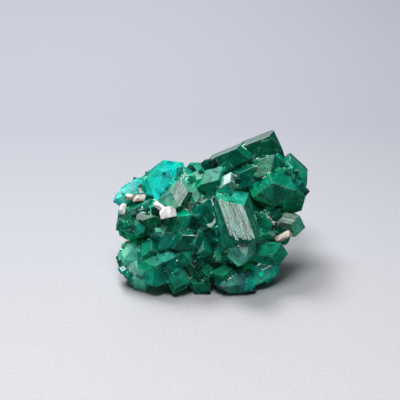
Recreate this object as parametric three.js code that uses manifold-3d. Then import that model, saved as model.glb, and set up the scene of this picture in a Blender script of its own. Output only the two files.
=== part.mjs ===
// A hand specimen of dioptase: short six-sided emerald-green crystals grown into each other, with
// a few scraps of the pale calcite that they grew on. Millimetres, +Z up. The specimen stands on
// the broken patch where it came off its rock, and the origin is under its middle, on the table.
import * as THREE from "three";
import { mergeVertices } from "three/addons/utils/BufferGeometryUtils.js";
import Module from "manifold-3d";

const wasm = await Module();
wasm.setup();

// Driving dimensions
const lookDown = 30; // degrees below level at which the specimen is seen from the front
const tableUnderCentre = 7.6; // from the middle of the front view down to the table
const axialRatio = 0.5339; // dioptase's c to a
const rhombTilt = Math.atan((4 * axialRatio) / Math.sqrt(3)); // of a {021} face's normal from the c axis
const unevenGrowth = [0.87, 1.11]; // of a face's distance, against that of the crystal's first face
const goldenAngle = 137.508; // degrees from one place to the next on the massive middle
const tipFaceOut = 0.29; // from the c axis out to the middle of a tip face, as a share of the width
const pocketGap = 0.3; // around a calcite scrap
const scrapCorners = 9; // knocked off each scrap
const cornerReach = [0.86, 1.08]; // of a knocked-off corner, as a share of the block's half size that way
const frontFacing = 0.2; // least share of a crust crystal's place that points to the viewer
const seeds = { shown: [101, 7919], crust: [50021, 104729], scraps: [90001, 15485863] }; // first, and step

// The massive middle that every crystal grows out of, as overlapping lumps.
const lumps = [
  { at: [0, -0.4, -0.8], radii: [9.8, 5.2, 5] },
  { at: [-1, -1.2, -4], radii: [8.8, 5.4, 5.4] },
];

// The crystals all over the middle. Where the front view sees them, they are small and lie in the
// hollows between the others.
const crust = {
  at: [0, -0.2, -0.6],
  radii: [11.4, 7, 6.4],
  count: 84,
  width: [3, 5.2],
  slenderness: 1.5,
  lean: 1.3,
  sunkInFront: 2.2,
  shareInFront: 0.72,
};

// The crystals that the front view shows. at is the middle of a crystal's broadest face, in
// millimetres from the middle of the view: right, up, toward the viewer. facing is the way that
// face is turned. Where it is a side face, run is the crystal's length, right and up, and length is
// the face's; where it is a tip face, run points to the tip and length is the crystal's. steps is
// the number of smaller crystals that grow on the face in the same setting, and hand is which of
// the prism edges the tip faces stand over.
const shown = [
  // the long prism on top, broken square at its right end
  {
    at: [7.0, 9.3, 1.2], facing: [-0.09, 0.2, 0.97], run: [0.93, 0.36],
    width: 5.0, length: 5.4, blunt: 2.8, hand: -1,
  },
  { at: [2.6, 7.9, 2.0], facing: [-0.14, 0.2, 0.97], run: [0.93, 0.36], width: 4.0, length: 4.4, hand: -1 },
  { at: [-0.1, 7.4, 1.8], facing: [0.1, 0.1, 0.98], run: [0.6, 0.8], width: 1.5, length: 0.8 },
  // along the top
  { at: [0.1, 5.8, 2.8], facing: [-0.1, 0.5, 0.86], run: [1, 0.3], width: 3.6, length: 2.4 },
  { at: [2.1, 5.3, 3.2], facing: [-0.1, 0.45, 0.88], run: [0.8, 0.5], width: 2.2, length: 1.4 },
  { at: [-1.8, 7.0, 0.8], facing: [0.1, 0.5, 0.85], run: [0.9, 0], width: 2.8, length: 1.4 },
  { at: [-2.1, 5.8, 2.2], facing: [-0.1, 0.5, 0.85], run: [0.6, -0.6], width: 3.0, length: 1.4, steps: 1 },
  { at: [-3.9, 5.7, 3.0], facing: [0, 0.4, 0.9], run: [0.5, 0.8], width: 2.8, length: 1.6, steps: 1 },
  { at: [-4.3, 3.5, 4.6], facing: [0.15, 0.3, 0.94], run: [0.5, 0.86], width: 3.4, length: 2.6 },
  { at: [-7.0, 5.2, 2.6], facing: [-0.12, 0.32, 0.94], run: [0.6, 0.8], width: 5.4, length: 3.2, steps: 2 },
  { at: [-12.6, 3.4, 1.4], facing: [-0.3, 0.6, 0.74], run: [-0.8, -0.3], width: 2.0, length: 1 },
  { at: [-11.1, 4.3, 1.6], facing: [-0.2, 0.5, 0.85], run: [0.9, 0.5], width: 2.9, length: 1.6, steps: 1 },
  { at: [-9.7, 4.6, 1.0], facing: [-0.3, 0.5, 0.8], run: [0.7, 0.6], width: 3.8, length: 2, steps: 1 },
  // right
  { at: [8.3, 3.4, 4.0], facing: [-0.1, -0.3, 0.95], run: [0.94, -0.33], width: 5.0, length: 3.6 },
  { at: [7.3, 7.2, 3.0], facing: [-0.1, 0.35, 0.93], run: [0.9, 0.3], width: 4.0, length: 2.4 },
  { at: [12.2, 6.6, -0.8], facing: [0.4, 0.3, 0.86], run: [0.2, 0.9], width: 4.4, length: 2.4, steps: 1 },
  { at: [12.0, 3.0, 0.6], facing: [0.5, -0.2, 0.8], run: [0.2, 0.9], width: 4.2, length: 2.4, steps: 1 },
  { at: [10.5, 7.4, 1.2], facing: [-0.2, 0.55, 0.8], run: [0.52, -0.85], width: 1.6, length: 1.6 },
  { at: [10.6, -0.1, 2.6], facing: [0, 0.35, 0.93], run: [0.95, -0.25], width: 3.0, length: 1.8 },
  { at: [7.4, -0.9, 3.4], facing: [0, 0.1, 0.99], run: [0.3, 0.9], width: 3.8, length: 2 },
  { at: [7.4, -4.2, 4.3], facing: [0.12, 0.15, 0.98], run: [0.97, -0.1], width: 3.6, length: 3.0 },
  { at: [7.3, -7.2, 2.8], facing: [0.3, -0.1, 0.94], run: [0.8, 0.4], width: 4.2, length: 2.2, steps: 2 },
  // the middle
  {
    at: [3.5, -0.4, 6.4], facing: [0.05, 0.25, 0.97], run: [-0.29, 0.96],
    width: 5.8, length: 5.6, blunt: -2.9,
  },
  { at: [4.2, -3.5, 6.0], facing: [-0.05, 0.3, 0.94], run: [0.2, 0.95], width: 3.2, length: 1.8 },
  { at: [1.4, -4.2, 4.4], facing: [-0.2, 0.2, 0.95], run: [0.7, 0.6], width: 3.2, length: 1.6, steps: 1 },
  { at: [-1.4, -3.8, 5.4], facing: [0, 0.4, 0.9], run: [0.7, 0.5], width: 2.2, length: 1.0 },
  { at: [-3.0, -4.8, 4.9], facing: [-0.1, 0.1, 0.98], run: [0.3, 0.9], width: 2.8, length: 1.2 },
  { at: [-4.2, -0.6, 5.2], facing: [0, -0.1, 0.99], run: [0.97, 0.12], width: 3.4, length: 2.2 },
  { at: [-3.4, -3.1, 5.4], facing: [0.05, -0.2, 0.98], run: [0.95, -0.05], width: 3.4, length: 2.4 },
  { at: [-6.9, -1.2, 4.6], facing: [-0.2, 0.3, 0.93], run: [0.25, 0.95], width: 2.0, length: 1.2 },
  { at: [-6.2, -3.0, 4.8], facing: [-0.1, -0.1, 0.99], run: [0.9, 0.3], width: 3.0, length: 2 },
  { at: [-2.2, 3.2, 3.4], facing: [0.2, 0.3, 0.93], run: [0.5, 0.8], width: 2.2, length: 1.2 },
  { at: [-0.7, 0.3, 5.2], facing: [0.2, -0.1, 0.97], run: [0.4, 0.9], width: 3.2, length: 2, steps: 1 },
  { at: [0.0, -2.0, 4.6], facing: [-0.3, -0.2, 0.93], run: [0.2, 0.9], width: 2.4, length: 2, steps: 1 },
  { at: [0.8, 2.4, 4.2], facing: [-0.4, 0, 0.9], run: [0.4, 0.9], width: 2.4, length: 2, steps: 1 },
  // left
  { at: [-10.1, 0.3, 4.2], facing: [-0.2, 0.1, 0.97], run: [0.9, 0.4], width: 4.8, length: 3.0, steps: 3 },
  {
    at: [-7.1, -5.2, 4.4], facing: [-0.2, 0.56, 0.8], run: [0.86, 0.51],
    width: 4.6, length: 4.0, hand: -1, steps: 1,
  },
  { at: [-11.6, -4.2, 3.2], facing: [-0.4, 0.5, 0.77], run: [0.5, 0.85], width: 3.0, length: 1.8, steps: 1 },
  { at: [-12.2, -6.4, 2.2], facing: [-0.75, 0, 0.65], run: [0.2, -0.95], width: 3.0, length: 2.4, steps: 1 },
  { at: [-10.3, -7.2, 3.4], facing: [-0.3, 0.1, 0.95], run: [0.4, -0.92], width: 3.0, length: 2.6, steps: 1 },
  // along the foot
  { at: [-4.4, -8.1, 4.2], facing: [0.1, 0.1, 0.99], run: [0.3, 0.9], tip: true, width: 3.4, length: 4.6 },
  { at: [-2.1, -8.4, 3.6], facing: [-0.2, 0.3, 0.93], run: [0.6, -0.7], width: 2.4, length: 1.4 },
  { at: [-0.8, -8.8, 3.4], facing: [0.3, -0.2, 0.9], run: [0.2, -0.95], width: 2.4, length: 1.4 },
  { at: [3.2, -8.2, 4.0], facing: [-0.05, 0.3, 0.95], run: [0.95, 0.12], width: 3.2, length: 3.0 },
  { at: [5.1, -7.9, 3.6], facing: [0.5, 0.5, 0.7], run: [0.6, -0.75], width: 2.0, length: 1.6 },
  { at: [1.6, -7.1, 4.2], facing: [-0.1, 0.3, 0.95], run: [0.8, -0.3], width: 2.6, length: 1.6 },
  { at: [-0.7, -6.8, 4.0], facing: [0.2, 0, 0.97], run: [0.2, 0.9], width: 2.4, length: 1.4, steps: 1 },
  { at: [-2.9, -6.7, 3.7], facing: [0, -0.1, 0.97], run: [0.2, 0.9], width: 2.4, length: 1.4, steps: 1 },
  // smaller ones at the left, in the dark rounded knot, and the dark one under the long prism
  { at: [-9.7, -0.9, 5.0], facing: [0, 0.1, 0.99], run: [0.4, 0.9], width: 2.2, length: 1.0 },
  { at: [-12.1, 0.2, 3.6], facing: [-0.4, 0.2, 0.9], run: [0.2, 0.95], width: 2.2, length: 1.2 },
  { at: [-11.6, -1.7, 3.8], facing: [-0.4, -0.2, 0.9], run: [0.7, 0.6], width: 3.4, length: 1.2 },
  { at: [-8.2, -0.4, 5.3], facing: [0.2, 0, 0.97], run: [0.7, -0.6], width: 3.0, length: 1.4 },
  { at: [10.1, 5.6, 3.0], facing: [0.15, 0.3, 0.94], run: [0.8, -0.55], width: 3.0, length: 1.6 },
  { at: [-8.9, -4.0, 4.2], facing: [-0.3, 0.4, 0.85], run: [0.8, 0.6], width: 3.0, length: 1.8 },
  { at: [8.9, 8.4, 1.4], facing: [0.1, 0.4, 0.9], run: [0.9, 0.2], width: 2.0, length: 1.2 },
  { at: [4.9, 5.4, 2.8], facing: [-0.1, -0.1, 0.98], run: [0.9, 0.4], width: 3.4, length: 2.4 },
];
const stepShare = [0.45, 0.75]; // of the crystal that a smaller one grows on
const stepRise = [-0.04, 0.06]; // of a step over the face, as a share of the crystal's width

// The scraps of calcite that the front view shows. Each is one or two broken blocks grown together,
// with their sizes along the view's three directions.
const scraps = [
  {
    name: "calcite_scrap_left",
    blocks: [
      { at: [-11.0, 2.9, 2.6], size: [1.5, 0.9, 1.8], roll: -6 },
      { at: [-9.9, 2.8, 2.6], size: [1.8, 0.9, 1.8], roll: 8 },
    ],
  },
  { name: "calcite_scrap_far_left", blocks: [{ at: [-12.1, 1.3, 3.6], size: [0.8, 1.5, 1.8], roll: -8 }] },
  {
    name: "calcite_scrap_middle",
    blocks: [
      { at: [-5.9, 0.9, 5.2], size: [2.2, 1.5, 2.4], roll: 12 },
      { at: [-7.0, 1.6, 5.0], size: [1.8, 0.8, 2.0], roll: -38 },
    ],
  },
  { name: "calcite_scrap_right", blocks: [{ at: [9.9, -2.5, 3.2], size: [2.4, 0.9, 2.4], roll: 30 }] },
];

const degrees = Math.PI / 180;

// The front view's right, up and toward the viewer, in the specimen's own axes.
const turnToStand = new THREE.Quaternion().setFromAxisAngle(
  new THREE.Vector3(1, 0, 0),
  (90 - lookDown) * degrees,
);
const seen = (v) => new THREE.Vector3(...v).applyQuaternion(turnToStand);
const towardViewer = seen([0, 0, 1]);

// A repeatable stream of numbers from 0 to 1, from the minimal standard generator.
function randomFrom([first, step], index) {
  const modulus = 2147483647;
  const multiplier = 16807;
  let state = (first + step * index) % modulus;
  return () => {
    state = (state * multiplier) % modulus;
    return state / modulus;
  };
}

const between = ([low, high], share) => low + (high - low) * share;

function solidOf(geometry) {
  geometry.deleteAttribute("normal");
  geometry.deleteAttribute("uv");
  const merged = mergeVertices(geometry);
  return new wasm.Manifold(
    new wasm.Mesh({
      numProp: 3,
      vertProperties: merged.attributes.position.array,
      triVerts: new Uint32Array(merged.index.array),
    }),
  );
}

// Keeps what lies within distance of the origin along direction.
function grindFace(solid, direction, distance) {
  return solid.trimByPlane(direction.clone().negate().toArray(), -distance);
}

const join = (solids) => solids.reduce((whole, solid) => whole.add(solid));

function stood(solid, turn, at) {
  return solid.transform(turn.clone().setPosition(at).elements);
}

// The normal of a tip face at an azimuth about the c axis.
function tipNormal(azimuth) {
  const out = Math.sin(rhombTilt);
  return new THREE.Vector3(out * Math.cos(azimuth), out * Math.sin(azimuth), Math.cos(rhombTilt));
}

// One crystal with its c axis along Z: six prism faces, closed at each end by three rhombohedron
// faces over every other prism edge. length is from tip to tip. The first face of each kind is at
// its nominal distance, and growth makes the others uneven. blunt is where it is broken off.
function crystalSolid({ width, length, blunt, hand = 1 }, random) {
  const growth = (k) => (k === 0 ? 1 : between(unevenGrowth, random()));
  const blankSide = 2 * (width + length);
  let solid = solidOf(new THREE.BoxGeometry(blankSide, blankSide, blankSide));
  for (let k = 0; k < 6; k++) {
    const side = new THREE.Vector3(Math.cos(k * 60 * degrees), Math.sin(k * 60 * degrees), 0);
    solid = grindFace(solid, side, (width / 2) * growth(k));
  }
  for (let k = 0; k < 6; k++) {
    const face = tipNormal((30 * hand + k * 120) * degrees).multiplyScalar(k < 3 ? 1 : -1);
    solid = grindFace(solid, face, (length / 2) * Math.cos(rhombTilt) * growth(k));
  }
  if (blunt) solid = grindFace(solid, new THREE.Vector3(0, 0, Math.sign(blunt)), Math.abs(blunt));
  return solid;
}

// The length from tip to tip of a crystal, and how it stands for its broadest face to be where asked.
function setting({ at, facing, run, tip, width, length, hand = 1 }) {
  const normal = seen(facing).normalize();
  const along = seen([...run, 0]).projectOnPlane(normal).normalize();
  const tall = tip ? length : length + width * Math.cos(30 * degrees) * Math.tan(rhombTilt);
  const c = tip
    ? normal.clone().multiplyScalar(Math.cos(rhombTilt)).addScaledVector(along, Math.sin(rhombTilt))
    : along;
  const outward = normal.clone().projectOnPlane(c).normalize();
  const faceOut = tip ? tipFaceOut * width : width / 2;
  const faceUp = tip ? tall / 2 - faceOut * Math.tan(rhombTilt) : 0;
  const toFace = outward.clone().multiplyScalar(faceOut).addScaledVector(c, faceUp);
  const x = tip ? outward.applyAxisAngle(c, -30 * hand * degrees) : outward;
  const turn = new THREE.Matrix4().makeBasis(x, c.clone().cross(x), c);
  return { tall, toFace, normal, turn, middle: seen(at).sub(toFace) };
}

// A crystal of the front view, with the steps on its broadest face.
function shownCrystal(crystal, index) {
  const random = randomFrom(seeds.shown, index);
  const { tall, toFace, normal, turn, middle } = setting(crystal);
  const { width, blunt, hand, steps = 0 } = crystal;
  let solid = stood(crystalSolid({ width, length: tall, blunt, hand }, random), turn, middle);
  for (let k = 0; k < steps; k++) {
    const share = between(stepShare, random());
    const room = (1 - share) * width;
    const stepMiddle = new THREE.Vector3(0, room * (random() - 0.5), room * (random() - 0.5))
      .applyMatrix4(turn)
      .addScaledVector(toFace, 1 - share)
      .addScaledVector(normal, width * between(stepRise, random()))
      .add(middle);
    const step = crystalSolid({ width: width * share, length: tall * share, hand }, random);
    solid = solid.add(stood(step, turn, stepMiddle));
  }
  return solid;
}

// The crystal at the kth of the evenly spread places on the massive middle.
function crustCrystal(k) {
  const random = randomFrom(seeds.crust, k);
  const height = 1 - (2 * (k + 0.5)) / crust.count;
  const round = Math.sqrt(1 - height * height);
  const azimuth = k * goldenAngle * degrees;
  const out = new THREE.Vector3(round * Math.cos(azimuth), round * Math.sin(azimuth), height);
  const radii = new THREE.Vector3(...crust.radii);
  const lean = new THREE.Vector3(random() - 0.5, random() - 0.5, random() - 0.5);
  const axis = out.clone().divide(radii).normalize().addScaledVector(lean, crust.lean).normalize();
  const inFront = out.dot(towardViewer) > frontFacing;
  const width = between(crust.width, random()) * (inFront ? crust.shareInFront : 1);
  const length = width * crust.slenderness;
  const sunk = length / 2 + (inFront ? crust.sunkInFront : 0);
  const middle = new THREE.Vector3(...crust.at).add(out.multiply(radii)).addScaledVector(axis, -sunk);
  const spin = new THREE.Quaternion().setFromAxisAngle(new THREE.Vector3(0, 0, 1), random() * Math.PI);
  const tilt = new THREE.Quaternion().setFromUnitVectors(new THREE.Vector3(0, 0, 1), axis);
  const turn = new THREE.Matrix4().makeRotationFromQuaternion(tilt.multiply(spin));
  return stood(crystalSolid({ width, length }, random), turn, middle);
}

// A broken block of calcite, grown by a margin, with its corners knocked off.
function blockSolid({ at, size, roll }, random, margin) {
  let solid = solidOf(new THREE.BoxGeometry(...size.map((side) => side + 2 * margin)));
  for (let k = 0; k < scrapCorners; k++) {
    const way = new THREE.Vector3(random() - 0.5, random() - 0.5, random() - 0.3).normalize();
    const reach = way.clone().multiply(new THREE.Vector3(...size)).length() / 2;
    solid = grindFace(solid, way, reach * between(cornerReach, random()) + margin);
  }
  const spin = new THREE.Quaternion().setFromAxisAngle(new THREE.Vector3(0, 0, 1), roll * degrees);
  const turn = new THREE.Matrix4().makeRotationFromQuaternion(turnToStand.clone().multiply(spin));
  return stood(solid, turn, seen(at));
}

function scrapSolid({ blocks }, index, margin) {
  const random = randomFrom(seeds.scraps, index);
  return join(blocks.map((block) => blockSolid(block, random, margin)));
}

function meshOf(name, solid, material) {
  const { vertProperties, triVerts } = solid.getMesh();
  const geometry = new THREE.BufferGeometry()
    .setAttribute("position", new THREE.BufferAttribute(vertProperties, 3))
    .setIndex(new THREE.BufferAttribute(triVerts, 1));
  const mesh = new THREE.Mesh(geometry, material);
  mesh.name = name;
  return mesh;
}

const core = lumps.map(({ at, radii }) =>
  solidOf(new THREE.IcosahedronGeometry(1, 1).scale(...radii).translate(...at)),
);
const crustCrystals = Array.from({ length: crust.count }, (_, k) => crustCrystal(k));
const pockets = join(scraps.map((scrap, index) => scrapSolid(scrap, index, pocketGap)));
const cluster = join([...core, ...crustCrystals, ...shown.map(shownCrystal)])
  .subtract(pockets)
  .trimByPlane([0, 0, 1], -tableUnderCentre)
  .decompose()
  .sort((a, b) => b.volume() - a.volume())[0];

const { min, max } = cluster.boundingBox();
const toOrigin = [-(min[0] + max[0]) / 2, -(min[1] + max[1]) / 2, -min[2]];

const dioptase = new THREE.MeshStandardMaterial({ color: 0x0a6e5a, roughness: 0.12, metalness: 0 });
const calcite = new THREE.MeshStandardMaterial({ color: 0xe9e2d6, roughness: 0.45, metalness: 0 });
const specimen = new THREE.Group();
specimen.add(meshOf("crystal_cluster", cluster.translate(toOrigin), dioptase));
scraps.forEach((scrap, index) => {
  specimen.add(meshOf(scrap.name, scrapSolid(scrap, index, 0).translate(toOrigin), calcite));
});

export default specimen;
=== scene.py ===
# A hand specimen of dioptase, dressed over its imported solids: intergrown emerald-green crystals
# with scraps of pale calcite. Metres, +Z up; it stands on the table at z = 0 and the camera looks
# at it along +Y. Crystals and scraps are made in mm, and the finished pieces are brought to metres.
import math

import bmesh
import bpy
from mathutils import Matrix, Quaternion, Vector, noise


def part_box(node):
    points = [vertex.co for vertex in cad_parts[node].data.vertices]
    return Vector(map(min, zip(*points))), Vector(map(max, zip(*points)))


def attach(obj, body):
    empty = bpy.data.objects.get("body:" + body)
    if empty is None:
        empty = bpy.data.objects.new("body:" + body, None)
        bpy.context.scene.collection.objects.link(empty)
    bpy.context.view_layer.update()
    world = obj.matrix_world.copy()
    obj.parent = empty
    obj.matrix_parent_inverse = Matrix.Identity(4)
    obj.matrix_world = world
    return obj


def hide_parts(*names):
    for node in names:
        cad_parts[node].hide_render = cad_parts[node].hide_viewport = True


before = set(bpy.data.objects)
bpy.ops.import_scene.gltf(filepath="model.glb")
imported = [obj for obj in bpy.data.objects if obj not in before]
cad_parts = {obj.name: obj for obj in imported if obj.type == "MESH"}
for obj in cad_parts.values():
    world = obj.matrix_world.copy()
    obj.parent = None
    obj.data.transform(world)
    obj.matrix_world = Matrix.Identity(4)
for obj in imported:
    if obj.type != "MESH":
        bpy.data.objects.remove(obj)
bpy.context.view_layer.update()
mm = 0.001
up = Vector((0, 0, 1))

camera = {
    "lookDown": 30,  # degrees below level
    "distance": 155.6,  # mm, to the middle of the front view
    "lens": 100,  # mm
    "sensor": 36,  # mm wide
    "photoSide": 400,  # pixels
    "middleAt": (211, 218),  # pixel on which the middle of the front view falls
    "tableUnderMiddle": 7.6,  # mm, from that middle down to the table
}
turnToStand = Quaternion((1, 0, 0), math.radians(90 - camera["lookDown"]))


# A direction or place given as right, up and toward the viewer, in the specimen's own axes.
def seen(v):
    return turnToStand @ Vector(v)


towardViewer = seen((0, 0, 1))


# A repeatable stream of numbers from 0 to 1, from the minimal standard generator.
def stream(seed, index):
    factor, modulus = 16807, 2147483647
    first, step = seed
    state = (first + step * index) % modulus
    while True:
        state = state * factor % modulus
        yield state / modulus


def between(span, share):
    return span[0] + (span[1] - span[0]) * share


# A way and an amount to lean, up to half a unit along each axis.
def leaning(draw):
    return Vector((next(draw) - 0.5, next(draw) - 0.5, next(draw) - 0.5))


# An sRGB hex colour as the linear values that Blender works with.
def linear(hexColour):
    channels = [int(hexColour[k:k + 2], 16) / 255 for k in (1, 3, 5)]
    return [c / 12.92 if c <= 0.04045 else ((c + 0.055) / 1.055) ** 2.4 for c in channels]


# Adds a shader node: inputs by name or number get a value or a link, the rest are its settings.
def add(tree, kind, inputs=None, **settings):
    node = tree.nodes.new("ShaderNode" + kind)
    for name, value in settings.items():
        setattr(node, name, value)
    for name, value in (inputs or {}).items():
        if isinstance(value, bpy.types.NodeSocket):
            tree.links.new(value, node.inputs[name])
        else:
            node.inputs[name].default_value = value
    return node


def newMaterial(name):
    material = bpy.data.materials.new(name)
    material.use_nodes = True
    material.node_tree.nodes.clear()
    return material, material.node_tree


# The dioptase crystals

# A crystal's look: body is its colour in the depth, film how much of a pale film lies on its
# broad face, striae the strength of its growth lines, ribs how many growth ribs stand on that face.
# The film is partly an etched skin and partly painted sheen on faces that catch the light, and some
# bodies are painted light as well: glow, glints and light on crystals that stand in shade.
looks = {
    "black": {"body": "#005A44", "filmAndSheen": 0.0, "striae": 0.05},
    "deep": {"body": "#00725A", "filmAndSheen": 0.0, "striae": 0.1},
    "dark": {"body": "#008468", "filmAndSheen": 0.02, "striae": 0.15},
    "green": {"body": "#00A07C", "filmAndSheen": 0.03, "striae": 0.2},
    # painted light: a brighter green for light glowing through thin crystals, and for crystals in shade
    "paintedGlow": {"body": "#00C896", "filmAndSheen": 0.02, "striae": 0.2},
    "sea": {"body": "#08A88E", "filmAndSheen": 0.08, "striae": 0.15},
    # painted light: a grey-teal for the sheen on a face, made brighter as it stands in shade
    "greySheen": {"body": "#3CAA9E", "filmAndSheen": 0.12, "striae": 0.1},
    "teal": {"body": "#00BCA4", "filmAndSheen": 0.04, "striae": 0.2},
    # painted light: the glow of light through a thin crystal, and a painted glint
    "cyanGlowAndGlint": {"body": "#00E2D0", "filmAndSheen": 0.03, "striae": 0.3},
    # painted light: a brighter look for crystals that stand in shade
    "paintedLightAqua": {"body": "#10FFDC", "filmAndSheen": 0.15, "striae": 0.3},
    "ice": {"body": "#40F4E8", "filmAndSheen": 0.3, "striae": 0.4},
    "mint": {"body": "#20B496", "filmAndSheen": 0.3, "striae": 0.5},
    "pale": {"body": "#6CECCB", "filmAndSheen": 0.5, "striae": 0.4},
    # painted highlight: a pale film standing in for the flare on a face
    "frostAndFlare": {"body": "#98E8D0", "filmAndSheen": 0.8, "striae": 0.4},
    "reeded": {"body": "#1CA888", "filmAndSheen": 0.34, "striae": 1.0, "ribs": 7},
    # painted reflection: a pale film standing in for the shine of striated faces
    "silverSheen": {"body": "#48BCA2", "filmAndSheen": 1.3, "striae": 1.0, "ribs": 7},
}

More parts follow.
